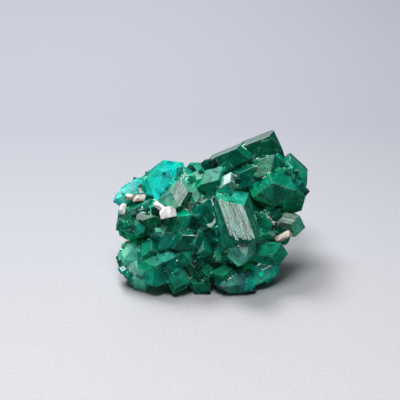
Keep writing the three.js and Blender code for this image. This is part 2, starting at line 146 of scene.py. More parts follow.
# The crystals that the front view shows. at is the middle of a crystal's broadest face, in mm from
# the middle of the view: right, up, toward the viewer. facing is the way that face is turned. Where
# it is a side face, run is the crystal's length, right and up, and length is the face's; where it
# is a tip face, run points to the tip and length is the crystal's. steps is the number of smaller
# crystals on the face, hand is which of the prism edges the tip faces stand over, and blunt is where
# the crystal is broken square, in mm from its middle along the run.
shown = [
    # the long prism on top, broken square at its right end
    {"at": (7.0, 9.3, 1.2), "facing": (-0.09, 0.2, 0.97), "run": (0.93, 0.36),
     "width": 5.0, "length": 5.4, "blunt": 2.8, "hand": -1, "look": "black"},
    {"at": (2.6, 7.9, 2.0), "facing": (-0.14, 0.2, 0.97), "run": (0.93, 0.36),
     "width": 4.0, "length": 4.4, "hand": -1, "look": "deep"},
    {"at": (-0.1, 7.4, 1.8), "facing": (0.1, 0.1, 0.98), "run": (0.6, 0.8),
     "width": 1.5, "length": 0.8, "look": "black"},
    # along the top
    {"at": (0.1, 5.8, 2.8), "facing": (-0.1, 0.5, 0.86), "run": (1, 0.3),
     "width": 3.6, "length": 2.4, "look": "sea"},
    {"at": (2.1, 5.3, 3.2), "facing": (-0.1, 0.45, 0.88), "run": (0.8, 0.5),
     "width": 2.2, "length": 1.4, "look": "frostAndFlare"},
    {"at": (-1.8, 7.0, 0.8), "facing": (0.1, 0.5, 0.85), "run": (0.9, 0),
     "width": 2.8, "length": 1.4, "look": "sea"},
    {"at": (-2.1, 5.8, 2.2), "facing": (-0.1, 0.5, 0.85), "run": (0.6, -0.6),
     "width": 3.0, "length": 1.4, "steps": 1, "look": "mint"},
    {"at": (-3.9, 5.7, 3.0), "facing": (0, 0.4, 0.9), "run": (0.5, 0.8),
     "width": 2.8, "length": 1.6, "steps": 1, "look": "mint"},
    {"at": (-4.3, 3.5, 4.6), "facing": (0.15, 0.3, 0.94), "run": (0.5, 0.86),
     "width": 3.4, "length": 2.6, "look": "silverSheen"},
    {"at": (-7.0, 5.2, 2.6), "facing": (-0.12, 0.32, 0.94), "run": (0.6, 0.8),
     "width": 5.4, "length": 3.2, "steps": 2, "look": "cyanGlowAndGlint"},
    {"at": (-12.6, 3.4, 1.4), "facing": (-0.3, 0.6, 0.74), "run": (-0.8, -0.3),
     "width": 2.0, "length": 1, "look": "ice"},
    {"at": (-11.1, 4.3, 1.6), "facing": (-0.2, 0.5, 0.85), "run": (0.9, 0.5),
     "width": 2.9, "length": 1.6, "steps": 1, "look": "ice"},
    {"at": (-9.7, 4.6, 1.0), "facing": (-0.3, 0.5, 0.8), "run": (0.7, 0.6),
     "width": 3.8, "length": 2, "steps": 1, "look": "green"},
    # right
    {"at": (8.3, 3.4, 4.0), "facing": (-0.1, -0.3, 0.95), "run": (0.94, -0.33),
     "width": 5.0, "length": 3.6, "look": "dark"},
    {"at": (7.3, 7.2, 3.0), "facing": (-0.1, 0.35, 0.93), "run": (0.9, 0.3),
     "width": 4.0, "length": 2.4, "look": "dark"},
    {"at": (12.2, 6.6, -0.8), "facing": (0.4, 0.3, 0.86), "run": (0.2, 0.9),
     "width": 4.4, "length": 2.4, "steps": 1, "look": "dark"},
    {"at": (12.0, 3.0, 0.6), "facing": (0.5, -0.2, 0.8), "run": (0.2, 0.9),
     "width": 4.2, "length": 2.4, "steps": 1, "look": "green"},
    {"at": (10.5, 7.4, 1.2), "facing": (-0.2, 0.55, 0.8), "run": (0.52, -0.85),
     "width": 1.6, "length": 1.6, "look": "sea"},
    {"at": (10.6, -0.1, 2.6), "facing": (0, 0.35, 0.93), "run": (0.95, -0.25),
     "width": 3.0, "length": 1.8, "look": "silverSheen"},
    {"at": (7.4, -0.9, 3.4), "facing": (0, 0.1, 0.99), "run": (0.3, 0.9),
     "width": 3.8, "length": 2, "look": "deep"},
    {"at": (7.4, -4.2, 4.3), "facing": (0.12, 0.15, 0.98), "run": (0.97, -0.1),
     "width": 3.6, "length": 3.0, "look": "paintedGlow"},
    {"at": (7.3, -7.2, 2.8), "facing": (0.3, -0.1, 0.94), "run": (0.8, 0.4),
     "width": 4.2, "length": 2.2, "steps": 2, "look": "paintedLightAqua"},
    # the middle
    # painted reflection: the film on its ribs paints the pale shine of this face
    {"at": (3.5, -0.4, 6.4), "facing": (0.05, 0.25, 0.97), "run": (-0.29, 0.96),
     "width": 5.8, "length": 5.6, "blunt": -2.9, "look": "reeded"},
    # painted light: a paler look than its own, as it stands in shade
    {"at": (4.2, -3.5, 6.0), "facing": (-0.05, 0.3, 0.94), "run": (0.2, 0.95),
     "width": 3.2, "length": 1.8, "look": "pale"},
    {"at": (1.4, -4.2, 4.4), "facing": (-0.2, 0.2, 0.95), "run": (0.7, 0.6),
     "width": 3.2, "length": 1.6, "steps": 1, "look": "green"},
    {"at": (-1.4, -3.8, 5.4), "facing": (0, 0.4, 0.9), "run": (0.7, 0.5),
     "width": 2.2, "length": 1.0, "look": "green"},
    {"at": (-3.0, -4.8, 4.9), "facing": (-0.1, 0.1, 0.98), "run": (0.3, 0.9),
     "width": 2.8, "length": 1.2, "look": "green"},
    {"at": (-4.2, -0.6, 5.2), "facing": (0, -0.1, 0.99), "run": (0.97, 0.12),
     "width": 3.4, "length": 2.2, "look": "green"},
    {"at": (-3.4, -3.1, 5.4), "facing": (0.05, -0.2, 0.98), "run": (0.95, -0.05),
     "width": 3.4, "length": 2.4, "look": "dark"},
    {"at": (-6.9, -1.2, 4.6), "facing": (-0.2, 0.3, 0.93), "run": (0.25, 0.95),
     "width": 2.0, "length": 1.2, "look": "pale"},
    {"at": (-6.2, -3.0, 4.8), "facing": (-0.1, -0.1, 0.99), "run": (0.9, 0.3),
     "width": 3.0, "length": 2, "look": "green"},
    {"at": (-2.2, 3.2, 3.4), "facing": (0.2, 0.3, 0.93), "run": (0.5, 0.8),
     "width": 2.2, "length": 1.2, "look": "mint"},
    {"at": (-0.7, 0.3, 5.2), "facing": (0.2, -0.1, 0.97), "run": (0.4, 0.9),
     "width": 3.2, "length": 2, "steps": 1, "look": "deep"},
    {"at": (0.0, -2.0, 4.6), "facing": (-0.3, -0.2, 0.93), "run": (0.2, 0.9),
     "width": 2.4, "length": 2, "steps": 1, "look": "deep"},
    {"at": (0.8, 2.4, 4.2), "facing": (-0.4, 0, 0.9), "run": (0.4, 0.9),
     "width": 2.4, "length": 2, "steps": 1, "look": "dark"},
    # left
    {"at": (-10.1, 0.3, 4.2), "facing": (-0.2, 0.1, 0.97), "run": (0.9, 0.4),
     "width": 4.8, "length": 3.0, "steps": 3, "look": "dark"},
    {"at": (-7.1, -5.2, 4.4), "facing": (-0.2, 0.56, 0.8), "run": (0.86, 0.51),
     "width": 4.6, "length": 4.0, "hand": -1, "steps": 1, "look": "sea"},
    {"at": (-11.6, -4.2, 3.2), "facing": (-0.4, 0.5, 0.77), "run": (0.5, 0.85),
     "width": 3.0, "length": 1.8, "steps": 1, "look": "pale"},
    {"at": (-12.2, -6.4, 2.2), "facing": (-0.75, 0, 0.65), "run": (0.2, -0.95),
     "width": 3.0, "length": 2.4, "steps": 1, "look": "teal"},
    {"at": (-10.3, -7.2, 3.4), "facing": (-0.3, 0.1, 0.95), "run": (0.4, -0.92),
     "width": 3.0, "length": 2.6, "steps": 1, "look": "pale"},
    # along the foot
    {"at": (-4.4, -8.1, 4.2), "facing": (0.1, 0.1, 0.99), "run": (0.3, 0.9), "tip": True,
     "width": 3.4, "length": 4.6, "look": "green"},
    # painted light: a brighter look than its own, as it stands in shade
    {"at": (-2.1, -8.4, 3.6), "facing": (-0.2, 0.3, 0.93), "run": (0.6, -0.7),
     "width": 2.4, "length": 1.4, "look": "green"},
    {"at": (-0.8, -8.8, 3.4), "facing": (0.3, -0.2, 0.9), "run": (0.2, -0.95),
     "width": 2.4, "length": 1.4, "look": "green"},
    {"at": (3.2, -8.2, 4.0), "facing": (-0.05, 0.3, 0.95), "run": (0.95, 0.12),
     "width": 3.2, "length": 3.0, "look": "greySheen"},
    {"at": (5.1, -7.9, 3.6), "facing": (0.5, 0.5, 0.7), "run": (0.6, -0.75),
     "width": 2.0, "length": 1.6, "look": "paintedLightAqua"},
    {"at": (1.6, -7.1, 4.2), "facing": (-0.1, 0.3, 0.95), "run": (0.8, -0.3),
     "width": 2.6, "length": 1.6, "look": "green"},
    # painted light: a brighter look than its own, as it stands in shade
    {"at": (-0.7, -6.8, 4.0), "facing": (0.2, 0, 0.97), "run": (0.2, 0.9),
     "width": 2.4, "length": 1.4, "steps": 1, "look": "green"},
    {"at": (-2.9, -6.7, 3.7), "facing": (0, -0.1, 0.97), "run": (0.2, 0.9),
     "width": 2.4, "length": 1.4, "steps": 1, "look": "dark"},
    # smaller ones at the left, in the dark rounded knot, and the dark one under the long prism
    {"at": (-9.7, -0.9, 5.0), "facing": (0, 0.1, 0.99), "run": (0.4, 0.9),
     "width": 2.2, "length": 1.0, "look": "paintedGlow"},
    {"at": (-12.1, 0.2, 3.6), "facing": (-0.4, 0.2, 0.9), "run": (0.2, 0.95),
     "width": 2.2, "length": 1.2, "look": "mint"},
    {"at": (-11.6, -1.7, 3.8), "facing": (-0.4, -0.2, 0.9), "run": (0.7, 0.6),
     "width": 3.4, "length": 1.2, "look": "paintedGlow"},
    {"at": (-8.2, -0.4, 5.3), "facing": (0.2, 0, 0.97), "run": (0.7, -0.6),
     "width": 3.0, "length": 1.4, "look": "black"},
    {"at": (10.1, 5.6, 3.0), "facing": (0.15, 0.3, 0.94), "run": (0.8, -0.55),
     "width": 3.0, "length": 1.6, "look": "dark"},
    {"at": (-8.9, -4.0, 4.2), "facing": (-0.3, 0.4, 0.85), "run": (0.8, 0.6),
     "width": 3.0, "length": 1.8, "look": "green"},
    {"at": (8.9, 8.4, 1.4), "facing": (0.1, 0.4, 0.9), "run": (0.9, 0.2),
     "width": 2.0, "length": 1.2, "look": "cyanGlowAndGlint"},
    {"at": (4.9, 5.4, 2.8), "facing": (-0.1, -0.1, 0.98), "run": (0.9, 0.4),
     "width": 3.4, "length": 2.4, "look": "deep"},
]

axialRatio = 0.5339  # of dioptase, c to a
growth = {
    "rhombTilt": math.atan(4 * axialRatio / math.sqrt(3)),  # of a {021} face's normal from the c axis
    "uneven": (0.87, 1.11),  # of a face's distance, against the crystal's first face
    "stepShare": (0.45, 0.75),  # of the crystal that a smaller one grows on
    "stepRise": (-0.04, 0.06),  # of a step over the face, as a share of the width
    "tipFaceOut": 0.29,  # from the c axis to the middle of a tip face, as a share of the width
    "seed": (101, 7919),
}
sides = {"prism": 0, "tip": 6, "broken": 12, "table": 13}  # the first number of each kind of face
edges = {
    "rounding": 0.02,  # width of the worn edge, as a share of the crystal's width
    "most": 0.07,  # mm
    "filmAndSheen": 0.22,  # share of a worn edge that is pale
}
tint = {
    "crystal": (1.05, 1.6),  # of a crystal's body colour, as a factor
    "blue": (0.98, 1.2),  # of its blue, on top of it
    "face": (0.75, 1.2),  # of a face's colour, on top of both
    "otherFilmAndSheen": 0.15,  # most film, and painted sheen, on a crystal's other faces, against its broad face
    "seed": (4021, 6389),
    "crustFrom": 500,  # number of the first stream for the crystals of the crust
}
# Growth ribs: slices of the same crystal, each a little longer or shorter and higher or lower.
ribs = {
    "spread": 0.56,  # of all of them across the face, as a share of the crystal's width
    "width": (0.5, 1.2),  # against an even share of the spread
    "length": (0.9, 1.05),  # against the crystal's
    "rise": (-0.006, 0.028),  # over its face, as a share of its width
    "filmAndSheen": (0.05, 1.3),  # against the crystal's
    "blunt": (0.88, 1.04),  # against the crystal's own blunt end
    "seed": (7001, 3571),
}
# The massive dioptase in the middle, as ellipsoids in mm.
lumps = [
    {"at": (0, -0.4, -0.8), "radii": (9.8, 5.2, 5)},
    {"at": (-1, -1.2, -4), "radii": (8.8, 5.4, 5.4)},
]
# The crystals that cover the sides, the back and the underside, on an ellipsoid in mm. Those toward
# the viewer are smaller and sunk deeper, and fill the hollows between the crystals of the table;
# they take the darkest looks, as painted shade in those hollows.
crust = {
    "at": (0, -0.2, -0.6),
    "radii": (11.4, 7, 6.4),
    "count": 84,
    "goldenAngle": 137.508,  # degrees from one to the next, which spreads them evenly
    "width": (3, 5.2),
    "slenderness": 1.5,  # length against width
    "lean": 1.3,  # of their directions away from square
    "frontFacing": 0.2,  # cosine past which one counts as toward the viewer
    "shareInFront": 0.72,  # of the width
    "sunkInFront": 2.2,
    "looks": ["green", "deep", "dark", "sea", "green", "teal", "deep", "green", "mint", "dark"],
    "paintedShadeLooks": ["black", "black", "dark", "deep"],
    "seed": (50021, 104729),
}


def startCrystal():
    bm = bmesh.new()
    bm.faces.layers.float_color.new("body")
    bm.faces.layers.float_vector.new("surface")
    bm.faces.layers.float_vector.new("cAxis")
    bm.faces.layers.int.new("side")
    return bm


# Keeps what lies within distance of the origin along direction, and marks the new face.
def grind(bm, direction, distance, side):
    cut = bmesh.ops.bisect_plane(
        bm,
        geom=bm.verts[:] + bm.edges[:] + bm.faces[:],
        plane_co=direction * distance,
        plane_no=direction,
        clear_outer=True,
    )
    rim = [part for part in cut["geom_cut"] if isinstance(part, bmesh.types.BMEdge)]
    if len(rim) > 2:
        for face in bmesh.ops.contextual_create(bm, geom=rim)["faces"]:
            face[bm.faces.layers.int["side"]] = side


def tipNormal(azimuth):
    out = math.sin(growth["rhombTilt"])
    return Vector((out * math.cos(azimuth), out * math.sin(azimuth), math.cos(growth["rhombTilt"])))


# One crystal with its c axis along Z, ground from a block that is larger than any: six prism faces,
# and three rhombohedron faces at each end, over every other prism edge. length is from tip to tip.
def crystalForm(width, length, draw, blunt=0, hand=1):
    bm = startCrystal()
    bmesh.ops.create_cube(bm, size=2 * (width + length))

    def uneven(k):
        return 1 if k == 0 else between(growth["uneven"], next(draw))

    for k in range(6):
        angle = math.radians(60 * k)
        across = Vector((math.cos(angle), math.sin(angle), 0))
        grind(bm, across, width / 2 * uneven(k), sides["prism"] + k)
    for k in range(6):
        normal = tipNormal(math.radians(30 * hand + 120 * k)) * (1 if k < 3 else -1)
        reach = length / 2 * math.cos(growth["rhombTilt"])
        grind(bm, normal, reach * uneven(k), sides["tip"] + k)
    if blunt:
        grind(bm, Vector((0, 0, math.copysign(1, blunt))), abs(blunt), sides["broken"])
    return bm


# Gives the faces their colour and surface, wears the edges and stands the crystal in its place. A
# body colour is sRGB hex, or the linear values of the crystal that this one grows on.
def finishCrystal(bm, width, turn, at, look, draw, broad=sides["prism"]):
    body = bm.faces.layers.float_color["body"]
    surface = bm.faces.layers.float_vector["surface"]
    axis = bm.faces.layers.float_vector["cAxis"]
    side = bm.faces.layers.int["side"]
    strength = between(tint["crystal"], next(draw))
    red, green, blue = linear(look["body"]) if isinstance(look["body"], str) else look["body"]
    colour = (red * strength, green * strength, blue * strength * between(tint["blue"], next(draw)))
    cAxis = turn @ up
    for face in bm.faces:
        shade = between(tint["face"], next(draw))
        # the film, partly etched skin and partly painted sheen: full on the broad face, a little on the
        # others
        filmAndSheen = look["filmAndSheen"] * (1 if face[side] == broad else tint["otherFilmAndSheen"] * next(draw))
        next(draw)  # passed over, so that each face keeps the colour that it was matched with
        face[body] = [c * shade for c in colour] + [1]
        face[surface] = (filmAndSheen, look["striae"] if face[side] < sides["tip"] else 0, 0)
        face[axis] = cAxis
    wear = min(edges["most"], edges["rounding"] * width)
    worn = bmesh.ops.bevel(bm, geom=bm.edges[:], offset=wear, segments=1, profile=0.5,
                           affect="EDGES", material=-1, clamp_overlap=True)
    for face in worn["faces"]:
        face[surface] = (edges["filmAndSheen"], 0, 0)
    place = Matrix.Translation(at) @ turn.to_matrix().to_4x4()
    bmesh.ops.transform(bm, matrix=place, verts=bm.verts)
    grind(bm, -up, camera["tableUnderMiddle"], sides["table"])
    return asObject("crystal", bm)


def asObject(name, bm):
    mesh = bpy.data.meshes.new(name)
    bm.to_mesh(mesh)
    bm.free()
    return bpy.data.objects.new(name, mesh)


# The length from tip to tip, and how a crystal stands for its broadest face to be where asked.
def setting(crystal):
    width, length, hand = crystal["width"], crystal["length"], crystal.get("hand", 1)
    tip = crystal.get("tip")
    rhombTilt = growth["rhombTilt"]
    normal = seen(crystal["facing"]).normalized()
    along = seen((*crystal["run"], 0))
    along = (along - along.project(normal)).normalized()
    tall = length if tip else length + width * math.cos(math.radians(30)) * math.tan(rhombTilt)
    cAxis = normal * math.cos(rhombTilt) + along * math.sin(rhombTilt) if tip else along
    outward = (normal - normal.project(cAxis)).normalized()
    faceOut = growth["tipFaceOut"] * width if tip else width / 2
    faceUp = tall / 2 - faceOut * math.tan(rhombTilt) if tip else 0
    toFace = outward * faceOut + cAxis * faceUp
    aAxis = Quaternion(cAxis, math.radians(-30 * hand)) @ outward if tip else outward
    turn = Matrix((aAxis, cAxis.cross(aAxis), cAxis)).transposed().to_quaternion()
    return tall, toFace, normal, turn, seen(crystal["at"]) - toFace


# A crystal of the front view with its steps, and apart from them the ribs on its broadest face.
def shownCrystal(crystal, index):
    draw = stream(growth["seed"], index)
    tinted = stream(tint["seed"], index)
    width, look = crystal["width"], looks[crystal["look"]]
    hand, blunt = crystal.get("hand", 1), crystal.get("blunt", 0)
    tall, toFace, normal, turn, middle = setting(crystal)
    broad = sides["tip" if crystal.get("tip") else "prism"]
    main = crystalForm(width, tall, draw, blunt, hand)
    made = [finishCrystal(main, width, turn, middle, look, tinted, broad)]
    for _ in range(crystal.get("steps", 0)):
        share = between(growth["stepShare"], next(draw))
        room = (1 - share) * width
        aside = Vector((0, room * (next(draw) - 0.5), room * (next(draw) - 0.5)))
        rise = normal * width * between(growth["stepRise"], next(draw))
        at = turn @ aside + toFace * (1 - share) + rise + middle
        step = crystalForm(width * share, tall * share, draw, 0, hand)
        made.append(finishCrystal(step, width * share, turn, at, look, tinted, broad))
    count = look.get("ribs", 0)
    lined = stream(ribs["seed"], index)
    ribbed = []
    for k in range(count):
        half = ribs["spread"] * width / count / 2 * between(ribs["width"], next(lined))
        across = ribs["spread"] * width * ((k + next(lined)) / count - 0.5)
        ribLength = tall * between(ribs["length"], next(lined))
        end = blunt * between(ribs["blunt"], next(lined))
        rise = width * between(ribs["rise"], next(lined))
        rib = crystalForm(width, ribLength, lined, end, hand)
        bmesh.ops.translate(rib, vec=(rise, -across, 0), verts=rib.verts)
        for way in (-1, 1):
            grind(rib, Vector((0, way, 0)), half, sides["broken"])
        grind(rib, Vector((-1, 0, 0)), 0, sides["broken"])
        bmesh.ops.translate(rib, vec=(0, across, 0), verts=rib.verts)
        ribLook = {**look, "filmAndSheen": look["filmAndSheen"] * between(ribs["filmAndSheen"], next(lined))}
        ribbed.append(finishCrystal(rib, half, turn, middle, ribLook, tinted, broad))
    return made, ribbed


# The crystal at the kth of the evenly spread places on the massive middle.
def crustCrystal(k):
    draw = stream(crust["seed"], k)
    height = 1 - 2 * (k + 0.5) / crust["count"]
    azimuth = math.radians(k * crust["goldenAngle"])
    flat = math.sqrt(1 - height * height)
    out = Vector((flat * math.cos(azimuth), flat * math.sin(azimuth), height))
    radii = Vector(crust["radii"])
    lean = leaning(draw)
    square = Vector(o / r for o, r in zip(out, radii)).normalized()
    axis = (square + lean * crust["lean"]).normalized()
    inFront = out.dot(towardViewer) > crust["frontFacing"]
    width = between(crust["width"], next(draw)) * (crust["shareInFront"] if inFront else 1)
    length = width * crust["slenderness"]
    sunk = length / 2 + (crust["sunkInFront"] if inFront else 0)
    at = Vector(crust["at"]) + out * radii - axis * sunk
    turn = up.rotation_difference(axis) @ Quaternion(up, next(draw) * math.pi)
    form = crystalForm(width, length, draw)
    # painted shade: the crystals in the hollows toward the viewer take the darkest looks
    names = crust["paintedShadeLooks" if inFront else "looks"]
    look = looks[names[k % len(names)]]
    tinted = stream(tint["seed"], tint["crustFrom"] + k)
    return finishCrystal(form, width, turn, at, look, tinted, sides["tip"])


# A lump of the massive middle, plain dark dioptase with no film and no growth lines.
def massiveLump(lump):
    bm = startCrystal()
    bmesh.ops.create_icosphere(bm, subdivisions=2, radius=1)
    bmesh.ops.scale(bm, vec=lump["radii"], verts=bm.verts)
    body = bm.faces.layers.float_color["body"]
    axis = bm.faces.layers.float_vector["cAxis"]
    for face in bm.faces:
        face[body] = linear(looks["deep"]["body"]) + [1]
        face[axis] = up
    bmesh.ops.translate(bm, vec=lump["at"], verts=bm.verts)
    grind(bm, -up, camera["tableUnderMiddle"], sides["table"])
    return asObject("lump", bm)


# Joins closed solids to the first of them, or cuts them away from it, and gives one bmesh.
def combine(solids, operation="UNION"):
    group = bpy.data.collections.new("others")
    bpy.context.scene.collection.children.link(group)
    first = solids[0]
    bpy.context.scene.collection.objects.link(first)
    for solid in solids[1:]:
        if len(solid.data.polygons):
            group.objects.link(solid)
    combining = first.modifiers.new("combining", "BOOLEAN")
    combining.operation = operation
    combining.operand_type = "COLLECTION"
    combining.collection = group
    combining.solver = "MANIFOLD"
    result = bmesh.new()
    result.from_object(first, bpy.context.evaluated_depsgraph_get())
    for solid in solids:
        bpy.data.objects.remove(solid)
    bpy.data.collections.remove(group)
    return result


solids = [massiveLump(lump) for lump in lumps]
solids += [crustCrystal(k) for k in range(crust["count"])]
details = []
for index, crystal in enumerate(shown):
    made, ribbed = shownCrystal(crystal, index)
    solids += made
    details += ribbed
print(len(solids), "crystals and lumps made")
cluster = combine(solids)
print("joined,", len(cluster.faces), "faces")

# The small crystals and the calcite crumbs, which are also painted highlights, in the seams between the
# crystals

seams = {
    "leastFold": 0.35,  # radians that the faces at a seam fold inward
    "shortest": 0.25,  # mm
}
# The small crystals are painted darker than what they grow on, as painted shade: light seldom gets out
# of a seam.
druse = {
    "perMm": 0.5,  # of them along a seam
    "width": (0.35, 1.3),  # mm, and most are near the small end
    "slenderness": (1.0, 1.9),  # length against width
    "sunk": 0.5,  # of the length
    "lean": 1.6,  # of their directions away from the seam's own
    "shade": (0.12, 0.85),  # painted shade, against the body colour of the crystal that it grows on
    "striae": 0.1,
    "seed": (31337, 2741),
}
# The white chains are calcite dust of 0.01 to 0.1 mm in the seams, and also painted highlights: more of
# them stand in for the sparkle there. Its grains are drawn coarser, as finer ones don't show, and each
# has few faces because there are over a thousand.
dustAndSparkle = {
    "perMm": 9,  # of them along a seam, where all are kept
    "patch": 1.6,  # mm across a patch of seams that has some
    "bare": 0.15,  # noise under which a seam is bare
    "share": 0.42,  # kept in such a patch
    "length": (0.08, 0.34),  # mm, along the seam, and most are near the small end
    "breadth": (0.06, 0.16),  # mm
    "corners": 5,  # knocked off
    "reach": (0.75, 1.1),  # of a knocked-off corner from the middle, against the block's own
    "seed": (88001, 1733),
    # where the front view shows many, and all are kept: right, up and how far around, in mm
    "dusty": [
        (3.1, 5.5, 0.7), (4.4, 4.3, 0.8), (4.8, 5.6, 0.7), (5.0, 6.9, 0.8), (6.2, 8.0, 0.9),
        (7.3, 5.5, 0.5), (8.8, 5.0, 0.5), (10.2, 4.2, 0.7), (0.6, 3.4, 0.8), (-0.3, 2.0, 0.9),
        (-1.2, 0.6, 1.2), (8.4, 0.2, 1.3), (2.8, -6.7, 1.0), (0.4, -5.3, 0.7), (-4.8, -4.1, 0.7),
        (-1.9, -8.3, 1.0), (6.9, -5.4, 0.7), (-9.0, 1.2, 0.8),
    ],
}


# Places along the seams of a mesh, where crystals meet: each with the way out of the hollow and
# the way that the seam runs. The joined mesh lists a few of its edges in another order from run to
# run, and the draws follow that order, so the crumbs of dust and painted sparkle come out in one of
# two ways. Sorting the edges by where their ends are would settle it, and would place all small
# crystals and crumbs anew.
def seamPlaces(bm, perMm, draw):
    places = []
    body = bm.faces.layers.float_color["body"]
    for edge in bm.edges:
        length = edge.calc_length()
        if length < seams["shortest"] or edge.calc_face_angle_signed() > -seams["leastFold"]:
            continue
        count = int(length * perMm + next(draw))
        start, end = (vert.co for vert in edge.verts)
        along = (end - start).normalized()
        host, other = edge.link_faces
        out = (host.normal + other.normal).normalized()
        for _ in range(count):
            places.append({"at": start.lerp(end, next(draw)), "out": out, "along": along,
                           "body": host[body]})
    return places


def smallCrystal(place, index):
    draw = stream(druse["seed"], index + 1)
    axis = (place["out"] + leaning(draw) * druse["lean"]).normalized()
    width = between(druse["width"], next(draw) ** 2)
    length = width * between(druse["slenderness"], next(draw))
    turn = up.rotation_difference(axis) @ Quaternion(up, next(draw) * math.pi)
    # painted shade of the seam, laid on the colour of the crystal that it grows on
    dark = between(druse["shade"], next(draw))
    look = {"body": [c * dark for c in place["body"][:3]], "filmAndSheen": 0, "striae": druse["striae"]}
    form = crystalForm(width, length, draw)
    middle = place["at"] + axis * length * (0.5 - druse["sunk"])
    return finishCrystal(form, width, turn, middle, look, draw, sides["tip"])


# A block of calcite with its corners knocked off, more often the upper ones, and margin larger all
# round.
def chip(size, corners, reach, margin, draw):
    bm = startCrystal()
    bmesh.ops.create_cube(bm, size=1)
    bmesh.ops.scale(bm, vec=Vector(size) + Vector((2 * margin,) * 3), verts=bm.verts)
    for _ in range(corners):
        way = Vector((next(draw) - 0.5, next(draw) - 0.5, next(draw) - 0.3)).normalized()
        corner = (way * Vector(size)).length / 2 * between(reach, next(draw)) + margin
        grind(bm, way, corner, sides["broken"])
    return bm


# The share of the crumbs of dust and painted sparkle at a place that are kept.
def dustAndSparkleShare(at):
    x, y, _ = turnToStand.inverted() @ at
    if any(math.hypot(x - right, y - rise) < around for right, rise, around in dustAndSparkle["dusty"]):
        return 1
    return dustAndSparkle["share"] if noise.noise(at / dustAndSparkle["patch"]) > dustAndSparkle["bare"] else 0


def dustAndSparkleGrain(place, index):
    normal, along = place["out"], place["along"]
    draw = stream(dustAndSparkle["seed"], index + 1)
    size = [between(dustAndSparkle["length"], next(draw) ** 2)] + [
        between(dustAndSparkle["breadth"], next(draw)) for _ in range(2)]
    bm = chip(size, dustAndSparkle["corners"], dustAndSparkle["reach"], 0, draw)
    turn = Matrix((along, normal.cross(along), normal)).transposed().to_4x4()
    bmesh.ops.transform(bm, matrix=Matrix.Translation(place["at"]) @ turn, verts=bm.verts)
    grind(bm, -up, camera["tableUnderMiddle"], sides["table"])
    return asObject("dustAndSparkleGrain", bm)


druseAt = seamPlaces(cluster, druse["perMm"], stream(druse["seed"], 0))
small = [smallCrystal(place, index) for index, place in enumerate(druseAt)]
print(len(small), "small crystals in the seams")
chance = stream(dustAndSparkle["seed"], 0)
dustAndSparkleAt = [place for place in seamPlaces(cluster, dustAndSparkle["perMm"], chance)
            if next(chance) < dustAndSparkleShare(place["at"])]
cluster = combine([asObject("crystals", cluster)] + details + small)
loose = combine([dustAndSparkleGrain(place, index) for index, place in enumerate(dustAndSparkleAt)])
print("joined,", len(cluster.faces), "faces, and", len(dustAndSparkleAt), "crumbs,", len(loose.faces), "faces")

# The calcite

# Each scrap is one block or two: at is the middle and size the sides, in mm from the middle of the
# view and along right, up and toward the viewer, and roll turns it in the view, in degrees.
scraps = {
    "pieces": [
        {"name": "calcite_scrap_left", "stained": True, "blocks": [
            {"at": (-11.0, 2.9, 2.6), "size": (1.5, 0.9, 1.8), "roll": -6},
            {"at": (-9.9, 2.8, 2.6), "size": (1.8, 0.9, 1.8), "roll": 8}]},
        {"name": "calcite_scrap_far_left", "blocks": [
            {"at": (-12.1, 1.3, 3.6), "size": (0.8, 1.5, 1.8), "roll": -8}]},
        {"name": "calcite_scrap_middle", "blocks": [
            {"at": (-5.9, 0.9, 5.2), "size": (2.2, 1.5, 2.4), "roll": 12},
            {"at": (-7.0, 1.6, 5.0), "size": (1.8, 0.8, 2.0), "roll": -38}]},
        {"name": "calcite_scrap_right", "stained": True, "blocks": [
            {"at": (9.9, -2.5, 3.2), "size": (2.4, 0.9, 2.4), "roll": 30}]},
    ],
    "corners": 9,  # knocked off each block
    "reach": (0.86, 1.08),  # of a knocked-off corner from the middle, against the block's own
    "gap": 0.03,  # mm between a scrap and its pocket, so that their faces never touch
    "seed": (90001, 15485863),
}


# A scrap, or with a margin the pocket that it sits in.
def scrapForm(scrap, index, margin):
    draw = stream(scraps["seed"], index)
    blocks = []
    for block in scrap["blocks"]:
        bm = chip(block["size"], scraps["corners"], scraps["reach"], margin, draw)
        turn = turnToStand @ Quaternion(up, math.radians(block["roll"]))
        place = Matrix.Translation(seen(block["at"])) @ turn.to_matrix().to_4x4()
        bmesh.ops.transform(bm, matrix=place, verts=bm.verts)
        blocks.append(asObject("block", bm))
    return combine(blocks)


pockets = [asObject("pocket", scrapForm(scrap, index, scraps["gap"]))
           for index, scrap in enumerate(scraps["pieces"])]
cluster = combine([asObject("crystals", cluster)] + pockets, "DIFFERENCE")
print(len(pockets), "pockets cut for the calcite")

# Materials

